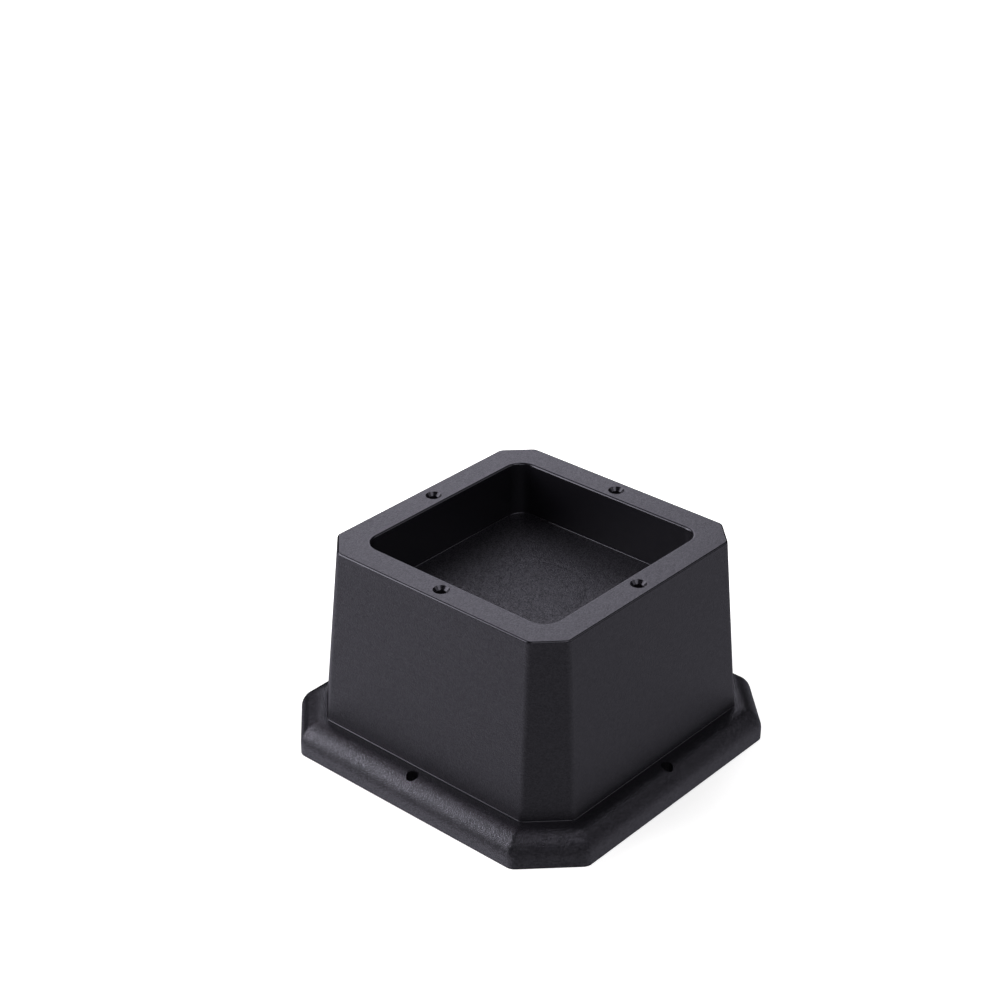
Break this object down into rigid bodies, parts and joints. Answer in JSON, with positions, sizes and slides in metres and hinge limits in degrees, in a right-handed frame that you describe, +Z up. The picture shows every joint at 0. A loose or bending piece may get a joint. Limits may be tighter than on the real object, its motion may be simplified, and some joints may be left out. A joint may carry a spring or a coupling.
{
  "type": "bed riser",
  "caption": "Square moulded bed riser: tapered block with cut corners on a rounded spreading foot, with a square recess for a bed's leg and screw holes in rim and foot.",
  "frame": {"origin": "middle of the underside, on the floor", "axes": "+Z up, out of the leg recess; X and Y square to the four flat sides"},
  "size_m": [0.1308, 0.1308, 0.076],
  "materials": {
    "black_plastic": "black, fine moulded grain, satin on the rim"
  },
  "bodies": {
    "root": {"bed_riser": "black_plastic"}
  },
  "joints": []
}
